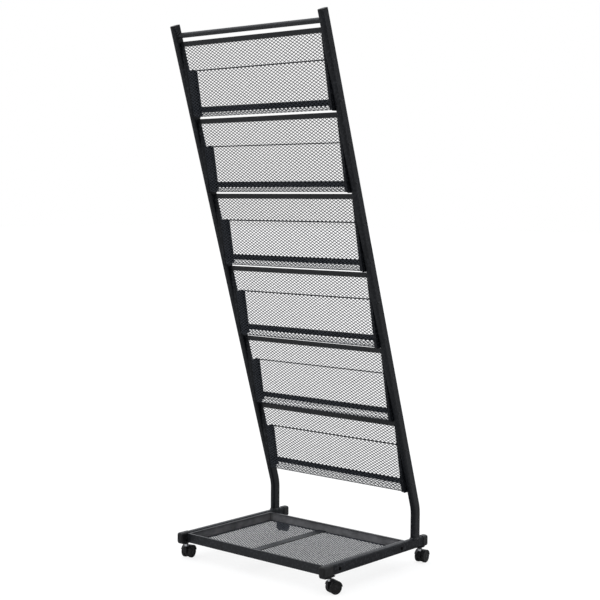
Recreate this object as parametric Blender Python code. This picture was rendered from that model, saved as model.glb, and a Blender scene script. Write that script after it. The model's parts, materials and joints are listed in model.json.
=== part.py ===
"""Brochure rack on casters: six mesh pockets between two leaning posts, over a rolling mesh tray."""
from math import cos, pi, radians, sin, tan

import bmesh
import bpy
from mathutils import Matrix, Vector

MM = 0.001

# Overall layout. X is the width, Y the depth (posts stand at +Y), Z is up, floor at Z = 0.
DEPTH_SHIFT = 198.2 * MM          # layout depths are counted from the near ends of the feet
SIDE_SHIFT = -1.5 * MM            # centres the bounding box, as the casters trail to one side
GAP = 0.3 * MM                    # between pieces that are welded or clipped together

# Side posts: rounded rectangular tube, upright at the foot, one bend, then leaning towards -Y.
LEAN = radians(17.82)
POST_X = 231.9 * MM
POST_W, POST_D, POST_R, POST_WALL = 15.0 * MM, 25.4 * MM, 5.0 * MM, 1.2 * MM
POST_DATUM = 357.6 * MM           # depth of the datum line the leaning section is counted from
BEND_Z = 140.9 * MM
BEND_R = 90.0 * MM
POST_AXIS = 10.2 * MM             # post centre behind the datum line
POST_U = 1243.4 * MM              # leaning length above the bend
POST_FOOT_Z = 68.3 * MM
PLUG_LEN, PLUG_PLAY = 14.0 * MM, 0.4 * MM
CAP_H, CAP_EDGE = 2.8 * MM, 0.8 * MM
RAIL_R, RAIL_WALL, RAIL_U = 6.5 * MM, 1.0 * MM, 1220.6 * MM

# Feet, their plastic ends and the tray between them.
FOOT_X, FOOT_W, FOOT_H, FOOT_Z = 230.6 * MM, 15.6 * MM, 25.0 * MM, 43.0 * MM
FOOT_LEN, FOOT_R, FOOT_INSET = 415.0 * MM, 4.5 * MM, 5.0 * MM
SHEET = 1.2 * MM
SLEEVE, SLEEVE_GAP, END_WALL = 0.9 * MM, 0.25 * MM, 4.6 * MM
SLEEVE_NEAR, SLEEVE_FAR = 33.0 * MM, 20.0 * MM
PAD_NEAR = (2.5 * MM, 43.0 * MM)   # how far the caster pad starts and ends from the foot's end
PAD_FAR = (11.0 * MM, 38.0 * MM)
PAD_W, PAD_DROP = 14.4 * MM, 2.9 * MM
BOSS_R0, BOSS_R1, BOSS_Z = 6.8 * MM, 5.6 * MM, 36.8 * MM
FRAME_X, FRAME_Y0, FRAME_Y1 = 221.2 * MM, 19.7 * MM, 338.6 * MM
FRAME_Z0, FRAME_Z1, RIM_W, LEDGE_W = 43.2 * MM, 66.0 * MM, 4.5 * MM, 9.0 * MM
TRAY_Z, TRAY_SHEET, STRIP_T = 45.5 * MM, 0.8 * MM, 1.5 * MM
STRIP_X0, STRIP_X1 = -50.0 * MM, -26.0 * MM

# Pockets. Section points are (v, h): v behind the datum line, h down from the tier's top.
TIERS = 6
TIER_TOP, TIER_PITCH = 1204.9 * MM, 193.7 * MM
BACK_V0, BACK_SLOPE = 9.9 * MM, 0.118
HEM_H, HEM_T, MESH_T = 12.2 * MM, 3.0 * MM, 1.0 * MM
BAR_H0, BAR_H1, BAR_T = 166.6 * MM, 180.4 * MM, 1.1 * MM
NEAR_FOLD = (-11.6 * MM, 182.2 * MM)    # the sheet's folds, below the back panel and at the lowest line
LOW_FOLD = (4.0 * MM, 187.2 * MM)
BAR_V, FRONT_SLOPE = 22.2 * MM, 0.137
PLATE_TOE = (20.6 * MM, 191.9 * MM)     # lowest far corner of the side plates
WIRE_H, WIRE_V, WIRE_R = 77.4 * MM, 34.2 * MM, 1.5 * MM
SIDE_X, SIDE_LIP, MESH_X = 224.0 * MM, 7.0 * MM, 222.3 * MM

# Casters: side of the rack, depth of the stem, and stored heading of each one's trail.
CASTERS = {
    "nl": (-1, 24.0 * MM, 103.0),
    "nr": (1, 29.0 * MM, 70.0),
    "fl": (-1, 391.0 * MM, 100.0),
    "fr": (1, 391.0 * MM, 97.0),
}
WHEEL_R, WHEEL_W, WHEEL_IN, TRAIL = 15.6 * MM, 8.3 * MM, 4.7 * MM, 12.5 * MM
AXLE_R, AXLE_PLAY = 3.0 * MM, 0.12 * MM
HOOD_R, HOOD_T, HOOD_W, WEB_W = 17.0 * MM, 1.05 * MM, 26.8 * MM, 8.8 * MM
WEB_R = 14.2 * MM
PIN_R, PIN_PLAY, PIN_Z = 3.0 * MM, 0.2 * MM, 19.6 * MM
NECK_R, NECK_Z0, NECK_Z1 = 4.0 * MM, 31.1 * MM, 36.5 * MM
STEM_R, STEM_TOP, STEM_HOLE = 3.5 * MM, 59.0 * MM, 3.9 * MM

# Material looks: colour, roughness, metallic.
BLACK = ((0.020, 0.021, 0.024), 0.42, 0.35)
PLASTIC = ((0.014, 0.014, 0.015), 0.55, 0.0)
CHROME = ((0.72, 0.73, 0.75), 0.15, 1.0)
WHEEL = ((0.012, 0.012, 0.013), 0.60, 0.0)
SMOOTH_LIMIT = radians(32)

for old in list(bpy.data.objects):
    bpy.data.objects.remove(old, do_unlink=True)
rack = bpy.data.collections.new("brochure_rack")
cutters = bpy.data.collections.new("cutters")
bpy.context.scene.collection.children.link(rack)
bpy.context.scene.collection.children.link(cutters)


def material(name, look):
    mat = bpy.data.materials.new(name)
    mat.use_nodes = True
    node = mat.node_tree.nodes["Principled BSDF"]
    node.inputs["Base Color"].default_value = (*look[0], 1.0)
    node.inputs["Roughness"].default_value = look[1]
    node.inputs["Metallic"].default_value = look[2]
    return mat


def add(mesh, look, parent, loc=(0, 0, 0)):
    """Places a finished mesh in the rack under its own name and material."""
    ob = bpy.data.objects.new(mesh.name, mesh)
    rack.objects.link(ob)
    mesh.materials.append(material(mesh.name, look))
    for poly in mesh.polygons:
        poly.use_smooth = True
    mesh.set_sharp_from_angle(angle=SMOOTH_LIMIT)
    ob.parent = parent
    ob.location = loc
    return ob


def boolean(ob, mesh, operation="DIFFERENCE"):
    """Cuts a mesh given in the object's own space from it, or joins it on."""
    tool = bpy.data.objects.new(mesh.name, mesh)
    cutters.objects.link(tool)
    tool.hide_render = True
    tool.display_type = "WIRE"
    tool.parent = ob.parent
    tool.location = ob.location
    mod = ob.modifiers.new(operation.lower(), "BOOLEAN")
    mod.operation = operation
    mod.solver = "EXACT"
    mod.object = tool


def empty(name, loc, rot, parent=None):
    ob = bpy.data.objects.new(name, None)
    rack.objects.link(ob)
    ob.location = loc
    ob.rotation_euler = rot
    ob.parent = parent
    return ob


def to_mesh(bm, name):
    bmesh.ops.remove_doubles(bm, verts=bm.verts, dist=1e-6)
    bmesh.ops.recalc_face_normals(bm, faces=bm.faces)
    mesh = bpy.data.meshes.new(name)
    bm.to_mesh(mesh)
    bm.free()
    return mesh


def box(name, lo, hi):
    bm = bmesh.new()
    bmesh.ops.create_cube(bm, size=1.0)
    lo, hi = Vector(lo), Vector(hi)
    for v in bm.verts:
        v.co = Vector([lo[i] + (v.co[i] + 0.5) * (hi[i] - lo[i]) for i in range(3)])
    return to_mesh(bm, name)


def prism(name, outline, x0, x1):
    """Extrudes an outline of (y, z) points from x0 to x1."""
    bm = bmesh.new()
    face = bm.faces.new([bm.verts.new((x0, y, z)) for y, z in outline])
    for v in bmesh.ops.extrude_face_region(bm, geom=[face])["geom"]:
        if isinstance(v, bmesh.types.BMVert):
            v.co.x = x1
    return to_mesh(bm, name)


def cone(name, r0, r1, z0, z1, at=(0, 0, 0), seg=24, along_x=False):
    """Cylinder or cone from z0 to z1, turned to lie along X if asked, then moved to a point."""
    bm = bmesh.new()
    bmesh.ops.create_cone(bm, cap_ends=True, segments=seg, radius1=r0, radius2=r1, depth=z1 - z0)
    bmesh.ops.translate(bm, verts=bm.verts, vec=(0, 0, (z0 + z1) / 2))
    turn = Matrix.Rotation(pi / 2, 4, "Y") if along_x else Matrix()
    bmesh.ops.transform(bm, matrix=Matrix.Translation(at) @ turn, verts=bm.verts)
    return to_mesh(bm, name)


def arc(cx, cy, r, a0, a1, n):
    """Points on an arc, angles in degrees."""
    angles = [radians(a0 + (a1 - a0) * i / n) for i in range(n + 1)]
    return [(cx + r * cos(a), cy + r * sin(a)) for a in angles]


def circle(r, n=24):
    return arc(0, 0, r, 0, 360, n)[:-1]


def rounded(w, h, r, seg=5):
    """Rounded rectangle outline centred on the origin."""
    corners = [(w / 2 - r, h / 2 - r), (r - w / 2, h / 2 - r), (r - w / 2, r - h / 2), (w / 2 - r, r - h / 2)]
    return [p for i, (cx, cy) in enumerate(corners) for p in arc(cx, cy, r, 90 * i, 90 * i + 90, seg)]


def bridge(bm, r0, r1):
    for i in range(len(r0)):
        j = (i + 1) % len(r0)
        bm.faces.new((r0[i], r0[j], r1[j], r1[i]))


def tube(name, path, outer, inner):
    """Hollow tube: two outlines carried along (point, first direction, second direction) stations."""
    bm = bmesh.new()
    shells = []
    for outline in (outer, inner):
        shells.append([[bm.verts.new(p + d1 * a + d2 * b) for a, b in outline] for p, d1, d2 in path])
    for shell in shells:
        for r0, r1 in zip(shell, shell[1:]):
            bridge(bm, r0, r1)
    for end in (0, -1):
        bridge(bm, shells[0][end], shells[1][end])
    return to_mesh(bm, name)


def loft(name, levels):
    """Closed solid through a list of equal-length rings of points."""
    bm = bmesh.new()
    rows = [[bm.verts.new(p) for p in level] for level in levels]
    for r0, r1 in zip(rows, rows[1:]):
        bridge(bm, r0, r1)
    bm.faces.new(rows[0])
    bm.faces.new(rows[-1])
    return to_mesh(bm, name)


def level(outline, z, kx=1.0, ky=1.0):
    return [(a * kx, b * ky, z) for a, b in outline]


Y0 = -DEPTH_SHIFT
X_DIR, Y_DIR, Z_DIR = Vector((1, 0, 0)), Vector((0, 1, 0)), Vector((0, 0, 1))
LEAN_UP = Vector((0, -sin(LEAN), cos(LEAN)))
LEAN_BACK = Vector((0, cos(LEAN), sin(LEAN)))
BEND = Vector((0, Y0 + POST_DATUM, BEND_Z))
root = empty("rack_root", (SIDE_SHIFT, 0, 0), (0, 0, 0))
lean_frame = empty("lean_frame", BEND, (LEAN, 0, 0), root)   # local Y is v, local Z runs up the posts


def post(name, sx):
    steps = 5
    axis_y = BEND.y + POST_AXIS
    turn_z = BEND_Z + POST_AXIS * tan(LEAN / 2) - BEND_R * tan(LEAN / 2)
    centre = Vector((0, axis_y - BEND_R, turn_z))
    stations = [(Vector((0, axis_y, POST_FOOT_Z)), 0.0)]
    for i in range(steps + 1):
        a = LEAN * i / steps
        stations.append((centre + Vector((0, BEND_R * cos(a), BEND_R * sin(a))), a))
    stations.append((BEND + LEAN_BACK * POST_AXIS + LEAN_UP * POST_U, LEAN))
    side = Vector((sx * POST_X, 0, 0))
    path = [(p + side, X_DIR, Vector((0, cos(a), sin(a)))) for p, a in stations]
    inner = rounded(POST_W - 2 * POST_WALL, POST_D - 2 * POST_WALL, POST_R - POST_WALL)
    add(tube(name, path, rounded(POST_W, POST_D, POST_R), inner), BLACK, root)


def post_cap(name, sx):
    """Plug in the tube's mouth with a thin head on top."""
    outline = rounded(POST_W, POST_D, POST_R)
    plug = [(size - 2 * (POST_WALL + PLUG_PLAY)) / size for size in (POST_W, POST_D)]
    edge = [(size - 2 * CAP_EDGE) / size for size in (POST_W, POST_D)]
    levels = [
        level(outline, -PLUG_LEN, *plug),
        level(outline, GAP, *plug),
        level(outline, GAP),
        level(outline, CAP_H - CAP_EDGE),
        level(outline, CAP_H, *edge),
    ]
    add(loft(name, levels), PLASTIC, lean_frame, (sx * POST_X, POST_AXIS, POST_U))


def top_rail():
    half = POST_X - POST_W / 2 - GAP
    path = [(X_DIR * x, Y_DIR, Z_DIR) for x in (-half, half)]
    mesh = tube("top_rail", path, circle(RAIL_R), circle(RAIL_R - RAIL_WALL))
    add(mesh, BLACK, lean_frame, Vector((0, POST_AXIS, RAIL_U)))


def foot(name, sx, keys):
    """Rounded rectangular tube along the depth, drilled underneath for its two caster stems."""
    inner = rounded(FOOT_W - 2 * SHEET, FOOT_H - 2 * SHEET, FOOT_R - SHEET, 4)
    centre = Vector((sx * FOOT_X, Y0, FOOT_Z + FOOT_H / 2))
    path = [(centre + Y_DIR * y, X_DIR, Z_DIR) for y in (FOOT_INSET, FOOT_LEN - FOOT_INSET)]
    ob = add(tube(name, path, rounded(FOOT_W, FOOT_H, FOOT_R, 4), inner), BLACK, root)
    for key in keys:
        at = (sx * FOOT_X, Y0 + CASTERS[key][1], FOOT_Z)
        boolean(ob, cone(f"hole_{key}", STEM_HOLE, STEM_HOLE, -2 * MM, 3 * MM, at))


def foot_end(name, key, far):
    """Plastic sleeve over the end of a foot, with a pad and a boss underneath for the caster stem."""
    sx, stem_y, _ = CASTERS[key]
    x, s = sx * FOOT_X, -1 if far else 1
    end = Y0 + (FOOT_LEN if far else 0.0)
    sleeve_len = SLEEVE_FAR if far else SLEEVE_NEAR
    pad0, pad1 = PAD_FAR if far else PAD_NEAR
    zc = FOOT_Z + FOOT_H / 2
    grow = 2 * (SLEEVE + SLEEVE_GAP)

    def rings(outline, stations):
        return [[(x + a * kx, end + s * y, zc + b * kz) for a, b in outline] for kx, kz, y in stations]

    outside = rounded(FOOT_W + grow, FOOT_H + grow, FOOT_R + SLEEVE, 4)
    nose = [(0.66, 0.78, 0.0), (0.84, 0.90, 0.7 * MM), (0.95, 0.97, 2.0 * MM), (1, 1, 4.2 * MM), (1, 1, sleeve_len)]
    ob = add(loft(name, rings(outside, nose)), PLASTIC, root)

    top, bottom = FOOT_Z - SLEEVE_GAP, FOOT_Z - PAD_DROP
    pad = [(pad0, top), (pad0 + 1.2 * MM, bottom + 1.0 * MM), (pad0 + 4 * MM, bottom),
           (pad1 - 2.4 * MM, bottom), (pad1, bottom + 1.2 * MM), (pad1, top)]
    pad = [(end + s * y, z) for y, z in pad]
    boolean(ob, prism(f"{name}_pad", pad, x - PAD_W / 2, x + PAD_W / 2), "UNION")
    at = (x, Y0 + stem_y, 0)
    boolean(ob, cone(f"{name}_boss", BOSS_R1, BOSS_R0, BOSS_Z, FOOT_Z - 1.0 * MM, at), "UNION")

    inside = rounded(FOOT_W + 2 * SLEEVE_GAP, FOOT_H + 2 * SLEEVE_GAP, FOOT_R, 4)
    socket = rings(inside, [(1, 1, END_WALL), (1, 1, PAD_NEAR[1] + 10 * MM)])
    boolean(ob, loft(f"{name}_socket", socket))
    boolean(ob, cone(f"{name}_bore", STEM_HOLE, STEM_HOLE, BOSS_Z - 1 * MM, FOOT_Z + 1 * MM, at))


def tray():
    """Ring of upright sheet with a narrow rim and a ledge, its mesh floor, and a strip across it."""
    y0, y1 = Y0 + FRAME_Y0, Y0 + FRAME_Y1

    def layer(name, inset, z0, z1, x0=-FRAME_X, x1=FRAME_X):
        return box(name, (max(x0, inset - FRAME_X), y0 + inset, z0), (min(x1, FRAME_X - inset), y1 - inset, z1))

    ob = add(layer("tray_frame", 0.0, FRAME_Z0, FRAME_Z1), BLACK, root)
    boolean(ob, layer("tray_inside", SHEET, FRAME_Z0 + SHEET, FRAME_Z1 - SHEET))
    boolean(ob, layer("tray_floor", LEDGE_W, FRAME_Z0 - SHEET, FRAME_Z0 + 2 * SHEET))
    boolean(ob, layer("tray_mouth", RIM_W, FRAME_Z1 - 2 * SHEET, FRAME_Z1 + SHEET))
    add(layer("tray_mesh", SHEET + GAP, TRAY_Z - TRAY_SHEET, TRAY_Z), BLACK, root)
    strip_z = TRAY_Z + GAP
    strip = layer("tray_bar", RIM_W + GAP, strip_z, strip_z + STRIP_T, STRIP_X0, STRIP_X1)
    add(strip, BLACK, root)


def back_v(h):
    return BACK_V0 - BACK_SLOPE * h


def front_v(h):
    return BAR_V + FRONT_SLOPE * (BAR_H1 - h)


def pocket_mesh(name, top):
    """Mesh back with its hem, short mesh floor and mesh front sloping up to the bar, as one bent sheet."""
    t, lip_top = MESH_T, BAR_H0 + 3 * MM
    near_v, near_h = NEAR_FOLD
    low_v, low_h = LOW_FOLD
    outline = [
        (back_v(0.0), 0.0),
        (back_v(HEM_H), HEM_H),
        (back_v(HEM_H) + t, HEM_H),
        (near_v + t, near_h),
        (low_v, low_h),
        (front_v(BAR_H1), BAR_H1),
        (front_v(lip_top), lip_top),
        (front_v(lip_top) - t, lip_top),
        (front_v(BAR_H1) - t, BAR_H1 - 0.6 * t),
        (low_v, low_h - 1.05 * t),
        (near_v + 2.1 * t, near_h - 0.75 * t),
        (back_v(HEM_H) + 2 * t, HEM_H),
        (back_v(HEM_H) + HEM_T, HEM_H),
        (back_v(0.0) + HEM_T, 0.0),
    ]
    add(prism(name, [(v, top - h) for v, h in outline], -MESH_X, MESH_X), BLACK, lean_frame)


def pocket_side(name, top, sx):
    """Solid end plate with lips folded inwards along its back edge and along its front edge."""
    slot, back_lip, front_lip = 0.9 * MM, 0.75 * MM, 0.9 * MM
    near_v, near_h = NEAR_FOLD
    toe_v, toe_h = PLATE_TOE
    outline = [
        (back_v(2 * MM) - slot, 2 * MM),
        (near_v - slot, near_h),
        (near_v + 0.4 * MM, near_h + 2.4 * MM),
        (toe_v - 2.4 * MM, toe_h + 1.4 * MM),
        (toe_v + 2.2 * MM, toe_h - 2.6 * MM),
        (WIRE_V + 3.2 * MM, WIRE_H + 0.5 * MM),
        (WIRE_V + 2.0 * MM, WIRE_H - 2.4 * MM),
        (WIRE_V - 20.5 * MM, WIRE_H - 6.5 * MM),
        (WIRE_V - 15.2 * MM, 2 * MM),
    ]
    outline = [(v, top - h) for v, h in outline]
    ob = add(prism(name, outline, sx * (SIDE_X - SHEET), sx * SIDE_X), BLACK, lean_frame)
    for tag, i, dv in (("back", 0, back_lip), ("front", 4, -front_lip)):
        (v0, u0), (v1, u1) = outline[i], outline[i + 1]
        lip = [(v0, u0), (v1, u1), (v1 + dv, u1), (v0 + dv, u0)]
        boolean(ob, prism(f"{name}_{tag}", lip, sx * (SIDE_X - SIDE_LIP), sx * (SIDE_X - 0.2 * MM)), "UNION")


def pocket_bar(name, top):
    """Solid strip along the top of the low mesh front."""
    corners = ((GAP, BAR_H1), (GAP + BAR_T, BAR_H1), (GAP + BAR_T, BAR_H0), (GAP, BAR_H0))
    x = SIDE_X - SIDE_LIP - GAP
    add(prism(name, [(front_v(h) + out, top - h) for out, h in corners], -x, x), BLACK, lean_frame)


def pocket_wire(name, top):
    """Round wire across the pocket's front, a third of the way down."""
    x = SIDE_X - SHEET - GAP
    rod = cone(name, WIRE_R, WIRE_R, -x, x, seg=12, along_x=True)
    add(rod, BLACK, lean_frame, (0, WIRE_V, top - WIRE_H))


def caster(key):
    """Fixed stem, hooded housing that swivels on it, and two wheels on the housing's axle."""
    sx, y, heading = CASTERS[key]
    at = (sx * FOOT_X, Y0 + y, 0)
    steps = [(PIN_R, PIN_Z), (PIN_R, NECK_Z0), (NECK_R, NECK_Z0), (NECK_R, NECK_Z1), (STEM_R, NECK_Z1),
             (STEM_R, STEM_TOP - 0.6 * MM), (STEM_R - 0.4 * MM, STEM_TOP)]
    stem = loft(f"caster_{key}_stem", [level(circle(r), z) for r, z in steps])
    add(stem, CHROME, root, at)

    pivot = empty(f"caster_{key}_swivel", at, (0, 0, radians(heading - 90)), root)
    name = f"caster_{key}_hood"
    t, cz = TRAIL, WHEEL_R
    guard = arc(t, cz, HOOD_R, 6, 158, 12) + arc(t, cz, HOOD_R - HOOD_T, 158, 6, 12)
    ob = add(prism(name, guard, -HOOD_W / 2, HOOD_W / 2), PLASTIC, pivot)
    socket_top, socket_v, chamfer = NECK_Z0 - GAP, -6.4 * MM, 1.2 * MM
    web = arc(t, cz, HOOD_R, 6, 104, 8) + [
        (5.6 * MM, socket_top), (socket_v + chamfer, socket_top), (socket_v, socket_top - chamfer), (socket_v, cz)
    ] + arc(t, cz, WEB_R, 200, 350, 10)
    boolean(ob, prism(f"{name}_web", web, -WEB_W / 2, WEB_W / 2), "UNION")
    axle = WHEEL_IN + WHEEL_W - 0.5 * MM
    boolean(ob, cone(f"{name}_pin", AXLE_R, AXLE_R, -axle, axle, (0, t, cz), along_x=True), "UNION")
    bore = PIN_R + PIN_PLAY
    boolean(ob, cone(f"{name}_bore", bore, bore, PIN_Z - 0.6 * MM, NECK_Z0 + 1 * MM))

    # Wheel section: radius, and distance out from the wheel's inner face.
    hub, r, w = AXLE_R + AXLE_PLAY, WHEEL_R, WHEEL_W
    section = [(hub, 0), (r - 1.3 * MM, 0), (r, 1.2 * MM), (r, w - 1.4 * MM), (r - 1.1 * MM, w), (r - 3.1 * MM, w),
               (r - 3.9 * MM, w - 1.0 * MM), (6.4 * MM, w - 1.0 * MM), (5.8 * MM, w - 0.5 * MM), (hub, w - 0.5 * MM)]
    turns = 32
    for tag, s in (("a", -1), ("b", 1)):
        bm = bmesh.new()
        rows = []
        for i in range(turns):
            a = 2 * pi * i / turns
            rows.append([bm.verts.new((s * (WHEEL_IN + out), pr * cos(a), pr * sin(a))) for pr, out in section])
        for r0, r1 in zip(rows, rows[1:] + rows[:1]):
            bridge(bm, r0, r1)
        add(to_mesh(bm, f"caster_{key}_wheel_{tag}"), WHEEL, pivot, (0, t, cz))


for side, sx, near, far in (("left", -1, "nl", "fl"), ("right", 1, "nr", "fr")):
    post(f"post_{side}", sx)
    post_cap(f"post_cap_{side}", sx)
    foot(f"foot_{side}", sx, (near, far))
    foot_end(f"foot_end_near_{side}", near, False)
    foot_end(f"foot_end_far_{side}", far, True)
top_rail()
tray()
for k in range(1, TIERS + 1):
    top = TIER_TOP - (k - 1) * TIER_PITCH
    pocket_mesh(f"pocket{k}_mesh", top)
    pocket_side(f"pocket{k}_side_left", top, -1)
    pocket_side(f"pocket{k}_side_right", top, 1)
    pocket_bar(f"pocket{k}_bar", top)
    pocket_wire(f"pocket{k}_wire", top)
for key in CASTERS:
    caster(key)
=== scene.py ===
"""Looks of the brochure rack: black powder-coated tube and sheet, expanded-metal pockets and tray."""
import json
from math import cos, hypot, pi, radians, sin

import bmesh
import bpy
from mathutils import Matrix, Vector


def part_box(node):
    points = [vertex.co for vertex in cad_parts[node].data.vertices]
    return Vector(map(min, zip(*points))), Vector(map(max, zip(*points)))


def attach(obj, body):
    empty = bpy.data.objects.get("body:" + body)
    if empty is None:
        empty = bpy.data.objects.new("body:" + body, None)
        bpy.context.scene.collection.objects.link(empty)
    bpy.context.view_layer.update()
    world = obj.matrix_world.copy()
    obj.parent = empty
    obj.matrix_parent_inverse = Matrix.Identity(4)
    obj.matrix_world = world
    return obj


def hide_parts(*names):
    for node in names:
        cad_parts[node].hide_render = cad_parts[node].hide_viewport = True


MM = 0.001
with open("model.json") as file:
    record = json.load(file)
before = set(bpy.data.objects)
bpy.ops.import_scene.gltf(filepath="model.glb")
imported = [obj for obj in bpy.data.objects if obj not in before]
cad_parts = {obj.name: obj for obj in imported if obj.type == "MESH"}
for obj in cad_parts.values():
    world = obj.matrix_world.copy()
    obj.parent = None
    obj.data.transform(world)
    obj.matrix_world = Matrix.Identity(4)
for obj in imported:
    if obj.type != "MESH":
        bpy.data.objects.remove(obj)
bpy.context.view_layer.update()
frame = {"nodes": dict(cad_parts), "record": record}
nodes = frame["nodes"]
POCKETS = range(1, 7)

# Camera: behind the rack and to its right, between the tray and the top rail in height.
CAMERA_AT = Vector((2115.0, -2520.9, 911.5)) * MM
YAW, PITCH, ROLL = radians(41.964), radians(-4.655), radians(0.265)
LENS, SENSOR = 79.764, 36.0
SHIFT_X, SHIFT_Y = 0.0723, 0.0109
CLIP_END = 50.0


def add_camera():
    data = bpy.data.cameras.new("camera")
    data.lens = LENS
    data.sensor_width = SENSOR
    data.shift_x = SHIFT_X
    data.shift_y = SHIFT_Y
    data.clip_end = CLIP_END
    camera = bpy.data.objects.new("camera", data)
    bpy.context.scene.collection.objects.link(camera)
    turn = Matrix.Rotation(YAW, 4, "Z") @ Matrix.Rotation(pi / 2 + PITCH, 4, "X")
    camera.matrix_world = Matrix.Translation(CAMERA_AT) @ turn @ Matrix.Rotation(ROLL, 4, "Z")
    bpy.context.scene.camera = camera


# Studio: a white room that is brighter overhead and behind the rack's pocket side, a pale floor, a soft sun.
ROOM_BRIGHT, ROOM_DIM, ROOM_TINT = 1.25, 0.10, (0.95, 0.97, 1.0, 1.0)
BRIGHT_SIDE, BRIGHT_FROM, BRIGHT_TO = Vector((-0.60, 0.46, 0.66)), -0.35, 0.75
PAPER_WHITE = (1.0, 1.0, 1.0, 1.0)
SUN_FROM, SUN_POWER, SUN_ANGLE = Vector((0.2, -0.7, 1.6)), 1.55, radians(80)
FLOOR_HALF, FLOOR_GREY, FLOOR_BOUNCE, FLOOR_GLOW = 30.0, 0.20, 0.42, 0.81


def add_studio():
    """Room seen only by light and reflections, plain white behind it, and a floor that glows to the camera."""
    bpy.context.scene.view_settings.view_transform = "Standard"
    world = bpy.data.worlds.new("studio")
    bpy.context.scene.world = world
    world.use_nodes = True
    tree = world.node_tree
    room = tree.nodes["Background"]
    room.inputs["Color"].default_value = ROOM_TINT
    coords = tree.nodes.new("ShaderNodeTexCoord")
    facing = tree.nodes.new("ShaderNodeVectorMath")
    facing.operation = "DOT_PRODUCT"
    facing.inputs[1].default_value = BRIGHT_SIDE.normalized()
    tree.links.new(coords.outputs["Generated"], facing.inputs[0])
    level = tree.nodes.new("ShaderNodeMapRange")
    level.interpolation_type = "SMOOTHSTEP"
    level.inputs["From Min"].default_value = BRIGHT_FROM
    level.inputs["From Max"].default_value = BRIGHT_TO
    level.inputs["To Min"].default_value = ROOM_DIM
    level.inputs["To Max"].default_value = ROOM_BRIGHT
    tree.links.new(facing.outputs["Value"], level.inputs["Value"])
    tree.links.new(level.outputs["Result"], room.inputs["Strength"])
    paper = tree.nodes.new("ShaderNodeBackground")
    paper.inputs["Color"].default_value = PAPER_WHITE
    path = tree.nodes.new("ShaderNodeLightPath")
    mix = tree.nodes.new("ShaderNodeMixShader")
    tree.links.new(path.outputs["Is Camera Ray"], mix.inputs["Fac"])
    tree.links.new(room.outputs["Background"], mix.inputs[1])
    tree.links.new(paper.outputs["Background"], mix.inputs[2])
    tree.links.new(mix.outputs["Shader"], tree.nodes["World Output"].inputs["Surface"])

    mesh = bpy.data.meshes.new("floor")
    r = FLOOR_HALF
    mesh.from_pydata([(-r, -r, 0), (r, -r, 0), (r, r, 0), (-r, r, 0)], [], [(0, 1, 2, 3)])
    floor = bpy.data.objects.new("floor", mesh)
    bpy.context.scene.collection.objects.link(floor)
    mat, floor_tree, shader = new_material("floor")
    seen = floor_tree.nodes.new("ShaderNodeLightPath").outputs["Is Camera Ray"]
    floor_tree.links.new(span(floor_tree, seen, 0.0, FLOOR_GLOW), shader.inputs["Emission Strength"])
    floor_tree.links.new(span(floor_tree, seen, FLOOR_BOUNCE, FLOOR_GREY), shader.inputs["Base Color"])
    shader.inputs["Roughness"].default_value = 1.0
    shader.inputs["Specular IOR Level"].default_value = 0.0
    mesh.materials.append(mat)

    data = bpy.data.lights.new("overhead", "SUN")
    data.energy = SUN_POWER
    data.angle = SUN_ANGLE
    sun = bpy.data.objects.new("overhead", data)
    bpy.context.scene.collection.objects.link(sun)
    sun.rotation_euler = (-SUN_FROM).to_track_quat("-Z", "Y").to_euler()


# Materials. Scales are those of noise textures in object space; pairs are where a mask begins and ends.
NOISE_DETAIL, FINE_DETAIL, EDGE_DETAIL, NOISE_ROUGH = 3.0, 2.0, 4.0, 0.55
TONE_STOPS = (0.3, 0.7)
PAINT_CLOUD, PAINT_GLOSS, PAINT_PEEL, PAINT_EDGE = 14.0, 60.0, 900.0, 180.0
SPECKS, SPECK_AT, SPECK_AMOUNT = 700.0, (0.68, 0.76), 0.5
PLASTIC_CLOUD, PLASTIC_GLOSS, PLASTIC_EDGE, SCUFF_AND_HIGHLIGHT = 25.0, 120.0, 90.0, 3.0
METAL_CLOUD, METAL_GLOSS = 200.0, 400.0
EDGE_AT, EDGE_SPOTS_AT = (0.53, 0.62), (0.5, 0.62)
# Painted bounce light on the faces towards the middle: noise scale, facing range, mask range and least amount.
BOUNCE_NOISE, BOUNCE_FACING, BOUNCE_AT, BOUNCE_LEAST = 35.0, (-0.04, -0.12), (0.3, 0.7), 0.55
PEEL_DEPTH, MESH_PEEL_DEPTH, GRAIN_DEPTH = 0.08 * MM, 0.04 * MM, 0.05 * MM
MIX_A, MIX_B, MIX_RESULT = 6, 7, 2


def new_material(name):
    mat = bpy.data.materials.new(name)
    mat.use_nodes = True
    tree = mat.node_tree
    return mat, tree, tree.nodes["Principled BSDF"]


def noise(tree, scale, detail=NOISE_DETAIL):
    coords = tree.nodes.new("ShaderNodeTexCoord")
    node = tree.nodes.new("ShaderNodeTexNoise")
    node.inputs["Scale"].default_value = scale
    node.inputs["Detail"].default_value = detail
    node.inputs["Roughness"].default_value = NOISE_ROUGH
    tree.links.new(coords.outputs["Object"], node.inputs["Vector"])
    return node.outputs["Fac"]


def two_tones(tree, scale, dark, light):
    """Colour that drifts between two tones."""
    node = tree.nodes.new("ShaderNodeValToRGB")
    for element, at, colour in zip(node.color_ramp.elements, TONE_STOPS, (dark, light)):
        element.position = at
        element.color = (*colour, 1.0)
    tree.links.new(noise(tree, scale), node.inputs["Fac"])
    return node.outputs["Color"]


def span(tree, source, lo, hi, source_lo=0.0, source_hi=1.0):
    """Source remapped from one range to another, clamped."""
    node = tree.nodes.new("ShaderNodeMapRange")
    node.inputs["From Min"].default_value = source_lo
    node.inputs["From Max"].default_value = source_hi
    node.inputs["To Min"].default_value = lo
    node.inputs["To Max"].default_value = hi
    tree.links.new(source, node.inputs["Value"])
    return node.outputs["Result"]


def product(tree, a, b):
    node = tree.nodes.new("ShaderNodeMath")
    node.operation = "MULTIPLY"
    tree.links.new(a, node.inputs[0])
    tree.links.new(b, node.inputs[1])
    return node.outputs["Value"]


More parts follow.
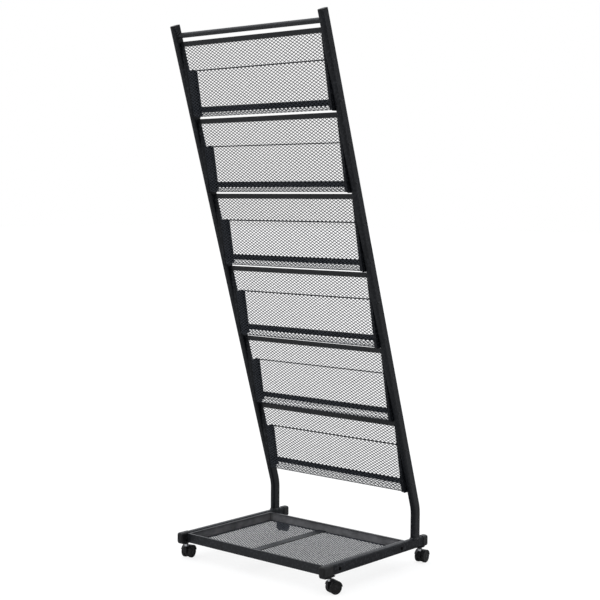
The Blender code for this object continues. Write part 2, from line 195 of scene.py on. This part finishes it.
def blend(tree, mask, under, colour):
    """One plain colour over another surface where the mask is 1."""
    node = tree.nodes.new("ShaderNodeMix")
    node.data_type = "RGBA"
    tree.links.new(mask, node.inputs["Factor"])
    tree.links.new(under, node.inputs[MIX_A])
    node.inputs[MIX_B].default_value = (*colour, 1.0)
    return node.outputs[MIX_RESULT]


def bump(tree, shader, height, distance):
    node = tree.nodes.new("ShaderNodeBump")
    node.inputs["Distance"].default_value = distance
    tree.links.new(height, node.inputs["Height"])
    tree.links.new(node.outputs["Normal"], shader.inputs["Normal"])


def worn_and_highlit_edges(tree, grain):
    """Mask of convex edges, broken up by fine noise, from the surface's pointiness: wear and a painted
    highlight.
    """
    geometry = tree.nodes.new("ShaderNodeNewGeometry")
    edge = span(tree, geometry.outputs["Pointiness"], 0.0, 1.0, *EDGE_AT)
    spots = span(tree, noise(tree, grain, EDGE_DETAIL), 0.0, 1.0, *EDGE_SPOTS_AT)
    return product(tree, edge, spots)


def inner_faces(tree):
    """Mask of the faces that look towards the rack's middle, patchy, where light bounced off the mesh is
    painted in.
    """
    geometry = tree.nodes.new("ShaderNodeNewGeometry")
    towards = tree.nodes.new("ShaderNodeVectorMath")
    towards.operation = "DOT_PRODUCT"
    tree.links.new(geometry.outputs["Normal"], towards.inputs[0])
    tree.links.new(geometry.outputs["Position"], towards.inputs[1])
    facing = span(tree, towards.outputs["Value"], 0.0, 1.0, *BOUNCE_FACING)
    return product(tree, facing, span(tree, noise(tree, BOUNCE_NOISE), BOUNCE_LEAST, 1.0, *BOUNCE_AT))


def powder_coat(name, tones, roughness, shine, peel=PEEL_DEPTH, painted_bounce=None):
    """Satin black powder coat: orange peel, faint cloudiness, dusty specks, edges lighter from rubbing and a
    painted highlight, and where asked, painted bounce light on the faces towards the middle.
    """
    mat, tree, shader = new_material(name)
    dark, light, edge = tones
    specks = span(tree, noise(tree, SPECKS, FINE_DETAIL), 0.0, SPECK_AMOUNT, *SPECK_AT)
    coat = blend(tree, specks, two_tones(tree, PAINT_CLOUD, dark, light), edge)
    # Convex edges lightened: partly rubbed wear, partly a painted highlight.
    coat = blend(tree, worn_and_highlit_edges(tree, PAINT_EDGE), coat, edge)
    # Painted light: faces towards the middle lightened, standing in for light bounced off the mesh.
    if painted_bounce:
        coat = blend(tree, inner_faces(tree), coat, painted_bounce)
    tree.links.new(coat, shader.inputs["Base Color"])
    tree.links.new(span(tree, noise(tree, PAINT_GLOSS), *roughness), shader.inputs["Roughness"])
    shader.inputs["Specular IOR Level"].default_value = shine
    bump(tree, shader, noise(tree, PAINT_PEEL, FINE_DETAIL), peel)
    return mat


def plastic(name, dark, light, roughness, grain, shine=0.32):
    """Moulded black plastic: fine grain, faint cloudiness, edges lighter from scuffs and a painted highlight.
    """
    mat, tree, shader = new_material(name)
    # Edge tone of scuffs and a painted highlight.
    scuff_and_highlight = tuple(SCUFF_AND_HIGHLIGHT * c for c in light)
    skin = blend(tree, worn_and_highlit_edges(tree, PLASTIC_EDGE), two_tones(tree, PLASTIC_CLOUD, dark, light), scuff_and_highlight)
    tree.links.new(skin, shader.inputs["Base Color"])
    tree.links.new(span(tree, noise(tree, PLASTIC_GLOSS), *roughness), shader.inputs["Roughness"])
    shader.inputs["Specular IOR Level"].default_value = shine
    bump(tree, shader, noise(tree, grain, FINE_DETAIL), GRAIN_DEPTH)
    return mat


def bright_metal(name, dark, light, roughness):
    """Plated metal with uneven brightness and gloss."""
    mat, tree, shader = new_material(name)
    shader.inputs["Metallic"].default_value = 1.0
    tree.links.new(two_tones(tree, METAL_CLOUD, dark, light), shader.inputs["Base Color"])
    tree.links.new(span(tree, noise(tree, METAL_GLOSS), *roughness), shader.inputs["Roughness"])
    return mat


# Tones are dark, light and the edge tone, which is wear and a painted highlight.
BLACK = (0.0046, 0.0056, 0.0076), (0.0080, 0.0093, 0.0122), (0.027, 0.029, 0.034)
# The mesh's own black paint, lightened as painted light that stands in for the front light on its strands.
MESH_TONES_AND_PAINTED_LIGHT = (0.024, 0.028, 0.036), (0.038, 0.043, 0.053), (0.07, 0.074, 0.082)
TRAY_TONES = (0.009, 0.010, 0.012), (0.014, 0.0155, 0.0185), BLACK[2]
# Painted bounce light for the tray's inner walls.
TRAY_PAINTED_BOUNCE = (0.23, 0.23, 0.24)
FINE_GRAIN, COARSE_GRAIN = 2600.0, 1500.0
LOOKS = {
    "tray_paint": powder_coat("tray_paint", TRAY_TONES, (0.34, 0.46), 0.32, painted_bounce=TRAY_PAINTED_BOUNCE),
    "frame_paint": powder_coat("frame_paint", BLACK, (0.34, 0.46), 0.45),
    "post_paint": powder_coat("post_paint", BLACK, (0.36, 0.48), 0.26),
    "dull_paint": powder_coat("dull_paint", BLACK, (0.42, 0.54), 0.18),
    # Near-black and dull: painted shade, as of holes, for the feet's screw heads.
    "foot_hole_shade": plastic(
        "foot_hole_shade", (0.001, 0.001, 0.001), (0.002, 0.002, 0.002), (0.6, 0.7), COARSE_GRAIN, 0.05),
    "mesh_paint": powder_coat("mesh_paint", MESH_TONES_AND_PAINTED_LIGHT, (0.55, 0.70), 0.10, MESH_PEEL_DEPTH),
    "cap_plastic": plastic(
        "cap_plastic", (0.005, 0.005, 0.006), (0.010, 0.010, 0.011), (0.42, 0.55), FINE_GRAIN),
    "hood_plastic": plastic(
        "hood_plastic", (0.005, 0.005, 0.006), (0.009, 0.009, 0.010), (0.34, 0.46), FINE_GRAIN),
    "wheel_plastic": plastic(
        "wheel_plastic", (0.006, 0.006, 0.006), (0.011, 0.011, 0.011), (0.5, 0.62), COARSE_GRAIN),
    "chrome": bright_metal("chrome", (0.62, 0.63, 0.65), (0.78, 0.79, 0.80), (0.08, 0.2)),
}
# Looks that differ from the material slot's own, by a part of the node's name.
OWN_LOOK = (("tray_frame", "tray_paint"), ("tray_bar", "dull_paint"), ("foot_left", "dull_paint"),
            ("foot_right", "dull_paint"), ("post_left", "post_paint"), ("post_right", "post_paint"),
            ("pocket", "dull_paint"))
SHARP = radians(32)
SOFT_EDGES = ("tray_frame", "foot_end", "_side_", "_bar", "_hood")
SOFT_W, SOFT_SEGMENTS, SOFT_FROM = 0.35 * MM, 2, radians(40)
HEM_SOFT_W, HEM_SOFT_SEGMENTS = 1.0 * MM, 3


def shade_smooth(mesh):
    for poly in mesh.polygons:
        poly.use_smooth = True
    mesh.set_sharp_from_angle(angle=SHARP)


def dress_cad_nodes():
    """Every CAD node that stays gets its slot's material, smooth shading and softened sheet edges."""
    for entry in frame["record"]["subparts"]:
        name = entry["node"]
        ob = nodes[name]
        ob.data.materials.clear()
        look = next((own for tag, own in OWN_LOOK if tag in name), entry["material_slot"])
        ob.data.materials.append(LOOKS[look])
        shade_smooth(ob.data)
        if any(tag in name for tag in SOFT_EDGES):
            soften(ob, SOFT_W, SOFT_SEGMENTS)


def soften(ob, width, segments):
    mod = ob.modifiers.new("soft_edges", "BEVEL")
    mod.width = width
    mod.segments = segments
    mod.limit_method = "ANGLE"
    mod.angle_limit = SOFT_FROM
    mod.harden_normals = True


def add_piece(name, mesh, slot, body="frame", replaces=(), look=None):
    """A visible piece on a body, in its slot's material unless a look is given."""
    ob = bpy.data.objects.new(name, mesh)
    bpy.context.scene.collection.objects.link(ob)
    mesh.materials.append(LOOKS[look or slot])
    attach(ob, body)
    if replaces:
        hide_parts(*replaces)
    return ob


def finish_mesh(bm, name, smooth=True):
    bmesh.ops.recalc_face_normals(bm, faces=bm.faces)
    mesh = bpy.data.meshes.new(name)
    bm.to_mesh(mesh)
    bm.free()
    if smooth:
        shade_smooth(mesh)
    return mesh


# Expanded metal: a lattice of slit and stretched strands, wider than they are thick.
DIAMOND_W, DIAMOND_H = 12.25 * MM, 7.5 * MM
STRAND_W, STRAND_T = 1.46 * MM, 0.5 * MM
LIP_STRAND_W, LIP_TWIST = 0.88 * MM, 0.45
POCKET_TWIST, TRAY_TWIST = 0.62 * MM, -0.20 * MM


def expanded_metal(name, width, length, place, twist, strand=lambda t: STRAND_W):
    """Sheet of diamond openings; place(x, t, n) puts a point x across, t along and n off the sheet."""
    half_w, half_h = DIAMOND_W / 2, DIAMOND_H / 2
    cols = 2 * round(width / DIAMOND_W)
    rows = 2 * round(length / DIAMOND_H)
    step_x, step_t = width / cols, length / rows
    bm = bmesh.new()
    holes = {}
    for j in range(1, rows):
        inset = 1 - strand(j * step_t) / 2 * hypot(half_w, half_h) / (half_w * half_h)
        dx, dt = step_x * inset, step_t * inset
        for i in range(1, cols):
            if (i + j) % 2:
                x, t = (i - cols / 2) * step_x, j * step_t
                corners = ((-dx, 0, 0), (0, -dt, -twist), (dx, 0, 0), (0, dt, twist))
                holes[i, j] = [bm.verts.new(place(x + a, t + b, n)) for a, b, n in corners]
    for (i, j), (west, north, east, south) in holes.items():
        lower_right = holes.get((i + 1, j + 1))
        lower_left = holes.get((i - 1, j + 1))
        below = holes.get((i, j + 2))
        if lower_right:
            bm.faces.new((east, south, lower_right[0], lower_right[1]))
        if lower_left:
            bm.faces.new((south, west, lower_left[1], lower_left[2]))
        if below and lower_right and lower_left:
            bm.faces.new((south, lower_right[0], below[1], lower_left[2]))
    return finish_mesh(bm, name, smooth=False)


def thicken(ob, thickness):
    mod = ob.modifiers.new("thickness", "SOLIDIFY")
    mod.thickness = thickness
    mod.offset = 0.0


# Pockets. A point is (x, v, h): v behind the posts' datum line, h down from the pocket's top.
LEAN = radians(17.82)
UP = Vector((0, -sin(LEAN), cos(LEAN)))
BACK = Vector((0, cos(LEAN), sin(LEAN)))
CENTRE_X = sum(corner.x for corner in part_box("top_rail")) / 2
WIRE_V, WIRE_H = 34.2 * MM, 77.4 * MM
BACK_V0, BACK_SLOPE = 9.9 * MM, 0.118
HEM_H, HEM_T = 12.2 * MM, 3.0 * MM
NEAR_FOLD, LOW_FOLD = (-11.6 * MM, 182.2 * MM), (4.0 * MM, 187.2 * MM)
BAR_V, BAR_H0, BAR_H1, FRONT_SLOPE = 22.2 * MM, 166.6 * MM, 180.4 * MM, 0.137
MESH_HALF = 222.3 * MM
MESH_START_H, FOLD_R, FOLD_STEPS = 8.0 * MM, 3 * MM, 5
FLOOR_RISE, BAR_GAP_V, BAR_GAP_H, LIP_DROP = 0.6 * MM, 0.5 * MM, 0.3 * MM, 4 * MM


def pocket_point(k):
    """Function from a pocket's (x, v, h) to the point in the frame, placed by the pocket's wire."""
    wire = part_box(f"pocket{k}_wire")
    origin = (wire[0] + wire[1]) / 2 - BACK * WIRE_V + UP * WIRE_H
    origin.x = CENTRE_X

    def at(x, v, h):
        return origin + Vector((x, 0, 0)) + BACK * v - UP * h

    return at


def rounded_path(points, radius):
    """Polyline with its corners cut back by a radius and eased over."""
    out = [Vector(points[0])]
    for a, b, c in zip(points, points[1:], points[2:]):
        a, b, c = Vector(a), Vector(b), Vector(c)
        start, end = b + (a - b).normalized() * radius, b + (c - b).normalized() * radius
        for i in range(FOLD_STEPS + 1):
            s = i / FOLD_STEPS
            out.append(start * (1 - s) ** 2 + b * 2 * s * (1 - s) + end * s ** 2)
    out.append(Vector(points[-1]))
    return out


def along(path):
    """Length of a polyline, and a function from distance along it to a point and the sheet's normal."""
    marks = [0.0]
    for a, b in zip(path, path[1:]):
        marks.append(marks[-1] + (b - a).length)

    def at(t):
        i = 0
        while i < len(marks) - 2 and marks[i + 1] < t:
            i += 1
        a, b = path[i], path[i + 1]
        step = (b - a).normalized()
        return a + step * (t - marks[i]), Vector((step.y, -step.x))

    return marks[-1], at


def pocket_mesh(k):
    """One lattice down the back, under the floor and up the front, and the hem along the top."""
    at = pocket_point(k)
    lip_h, middle = BAR_H0 + LIP_DROP, HEM_T / 2
    section = [
        (BACK_V0 - BACK_SLOPE * MESH_START_H + middle, MESH_START_H),
        (NEAR_FOLD[0] + middle, NEAR_FOLD[1]),
        (LOW_FOLD[0], LOW_FOLD[1] - FLOOR_RISE),
        (BAR_V - BAR_GAP_V, BAR_H1 - BAR_GAP_H),
        (BAR_V - BAR_GAP_V + FRONT_SLOPE * (BAR_H1 - lip_h), lip_h),
    ]
    length, walk = along(rounded_path(section, FOLD_R))
    fold_t = (Vector(section[1]) - Vector(section[0])).length

    def place(x, t, n):
        point, normal = walk(t)
        lift = n if t < fold_t else -LIP_TWIST * n
        return at(x, *(point + normal * lift))

    def strand(t):
        return STRAND_W if t < fold_t else LIP_STRAND_W

    mesh = expanded_metal(f"pocket{k}_lattice", 2 * MESH_HALF, length, place, POCKET_TWIST, strand)
    thicken(add_piece(mesh.name, mesh, "mesh_paint", replaces=(f"pocket{k}_mesh",)), STRAND_T)

    bm = bmesh.new()
    foot_v = BACK_V0 - BACK_SLOPE * HEM_H
    outline = [(BACK_V0, 0.0), (foot_v, HEM_H), (foot_v + HEM_T, HEM_H), (BACK_V0 + HEM_T, 0.0)]
    face = bm.faces.new([bm.verts.new(at(-MESH_HALF, v, h)) for v, h in outline])
    for v in bmesh.ops.extrude_face_region(bm, geom=[face])["geom"]:
        if isinstance(v, bmesh.types.BMVert):
            v.co.x += 2 * MESH_HALF
    hem = add_piece(f"pocket{k}_hem", finish_mesh(bm, f"pocket{k}_hem"), "frame_paint")
    soften(hem, HEM_SOFT_W, HEM_SOFT_SEGMENTS)


def tray_mesh():
    lo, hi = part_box("tray_mesh")
    z = (lo.z + hi.z) / 2

    def place(x, t, n):
        return Vector((CENTRE_X + x, lo.y + t, z + n))

    mesh = expanded_metal("tray_lattice", hi.x - lo.x, hi.y - lo.y, place, TRAY_TWIST)
    thicken(add_piece("tray_lattice", mesh, "mesh_paint", replaces=("tray_mesh",)), STRAND_T)


# Screw heads: low domes with a cross recess, on the posts at each pocket and on the feet's outer sides.
SCREW_R, SCREW_H, FOOT_SCREW_R = 3.1 * MM, 1.3 * MM, 4.2 * MM
POST_SCREWS = ((7.0 * MM, 74.5 * MM), (7.0 * MM, 167.3 * MM))
FOOT_SCREWS = (60.0 * MM, 304.0 * MM)
SCREW_SIDES, SCREW_SINK = 24, 0.05 * MM
SCREW_RINGS = ((1.0, 0.0), (1.0, 0.25), (0.93, 0.55), (0.75, 0.85), (0.5, 1.0), (0.3, 1.0))
FLUTE_EVERY, FLUTE_R, RECESS_R, RECESS_RISE = 6, 0.3, 0.14, 0.25


def screw_mesh(name, at, side, radius):
    """Dome on the plane x = at.x facing outwards, with four recess flutes pressed into its middle."""
    bm = bmesh.new()
    cross = [FLUTE_R if i % FLUTE_EVERY == 0 else RECESS_R for i in range(SCREW_SIDES)]
    rings = [([reach] * SCREW_SIDES, rise) for reach, rise in SCREW_RINGS] + [(cross, RECESS_RISE)]
    rows = []
    for reaches, rise in rings:
        row = []
        for i, reach in enumerate(reaches):
            a = 2 * pi * i / SCREW_SIDES
            r = radius * reach
            row.append(bm.verts.new(at + Vector((side * SCREW_H * rise, r * cos(a), r * sin(a)))))
        rows.append(row)
    for r0, r1 in zip(rows, rows[1:]):
        for i in range(SCREW_SIDES):
            j = (i + 1) % SCREW_SIDES
            bm.faces.new((r0[i], r0[j], r1[j], r1[i]))
    bm.faces.new(rows[0])
    bm.faces.new(rows[-1])
    return finish_mesh(bm, name)


def outer_face(lo, hi, side):
    """The x of a tube's outer side, a little way in, so that a screw head sits in it."""
    return (hi.x if side > 0 else lo.x) - side * SCREW_SINK


def add_screws():
    for side, word in ((-1, "left"), (1, "right")):
        post_lo, post_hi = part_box(f"post_{word}")
        post_x = outer_face(post_lo, post_hi, side)
        for k in POCKETS:
            at = pocket_point(k)
            for n, (v, h) in enumerate(POST_SCREWS):
                spot = at(0, v, h)
                spot.x = post_x
                name = f"screw_{word}_{k}_{n}"
                add_piece(name, screw_mesh(name, spot, side, SCREW_R), "frame_paint")
        foot_lo, foot_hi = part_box(f"foot_{word}")
        end_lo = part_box(f"foot_end_near_{word}")[0]
        foot_x = outer_face(foot_lo, foot_hi, side)
        foot_z = (foot_lo.z + foot_hi.z) / 2
        for n, y in enumerate(FOOT_SCREWS):
            name = f"screw_foot_{word}_{n}"
            spot = Vector((foot_x, end_lo.y + y, foot_z))
            # The feet's screw heads take the painted shade of holes.
            add_piece(name, screw_mesh(name, spot, side, FOOT_SCREW_R), "frame_paint", look="foot_hole_shade")


# Weld beads: uneven fillets round the posts where they stand on the feet, and where the rail meets them.
WELD_SIDES, WELD_STEPS = 6, 96
RIPPLE, WOBBLE, CORNER = 0.12, 0.1, 2.5
POST_HALF_DEPTH, FOOT_LIFT, RAIL_INSET = 12.7 * MM, 0.2 * MM, 0.4 * MM
FOOT_INSET_X, FOOT_INSET_Y = 0.6 * MM, 0.4 * MM
FOOT_WELD = {"roundness": 0.3, "bead": 2.6 * MM, "ripples": 44}
RAIL_WELD = {"roundness": 1.0, "bead": 0.9 * MM, "ripples": 30}


def weld(name, centre, axis_a, axis_b, half_a, half_b, roundness, bead, ripples):
    """Rippled bead along a rounded rectangle in the plane of two axes."""
    bm = bmesh.new()
    normal = axis_a.cross(axis_b)
    power = 2.0 / (2.0 + CORNER * (1 - roundness))
    rows = []
    for i in range(WELD_STEPS):
        a = 2 * pi * i / WELD_STEPS
        ca, sa = cos(a), sin(a)
        out_a = abs(ca) ** power * (1 if ca >= 0 else -1)
        out_b = abs(sa) ** power * (1 if sa >= 0 else -1)
        spine = centre + axis_a * half_a * out_a + axis_b * half_b * out_b
        outward = (axis_a * ca / half_a + axis_b * sa / half_b).normalized()
        size = bead * (1 + RIPPLE * sin(ripples * a) + WOBBLE * sin(3 * a + 1))
        row = []
        for q in range(WELD_SIDES):
            b = 2 * pi * q / WELD_SIDES
            row.append(bm.verts.new(spine + outward * size * cos(b) + normal * size * sin(b)))
        rows.append(row)
    for r0, r1 in zip(rows, rows[1:] + rows[:1]):
        for q in range(WELD_SIDES):
            p = (q + 1) % WELD_SIDES
            bm.faces.new((r0[q], r0[p], r1[p], r1[q]))
    return finish_mesh(bm, name)


def add_welds():
    x_axis, y_axis, z_axis = Vector((1, 0, 0)), Vector((0, 1, 0)), Vector((0, 0, 1))
    for word in ("left", "right"):
        lo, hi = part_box(f"post_{word}")
        half_x, half_y = (hi.x - lo.x) / 2 - FOOT_INSET_X, POST_HALF_DEPTH - FOOT_INSET_Y
        foot_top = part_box(f"foot_{word}")[1].z
        centre = Vector(((lo.x + hi.x) / 2, hi.y - POST_HALF_DEPTH, foot_top + FOOT_LIFT))
        name = f"weld_foot_{word}"
        add_piece(name, weld(name, centre, x_axis, y_axis, half_x, half_y, **FOOT_WELD), "frame_paint")
    rail_lo, rail_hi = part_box("top_rail")
    centre = (rail_lo + rail_hi) / 2
    r = (rail_hi.z - rail_lo.z) / 2
    for word, x, s in (("left", rail_lo.x, 1), ("right", rail_hi.x, -1)):
        name = f"weld_rail_{word}"
        spot = Vector((x + s * RAIL_INSET, centre.y, centre.z))
        add_piece(name, weld(name, spot, y_axis, z_axis, r, r, **RAIL_WELD), "frame_paint")


add_camera()
add_studio()
dress_cad_nodes()
for k in POCKETS:
    pocket_mesh(k)
tray_mesh()
add_screws()
add_welds()
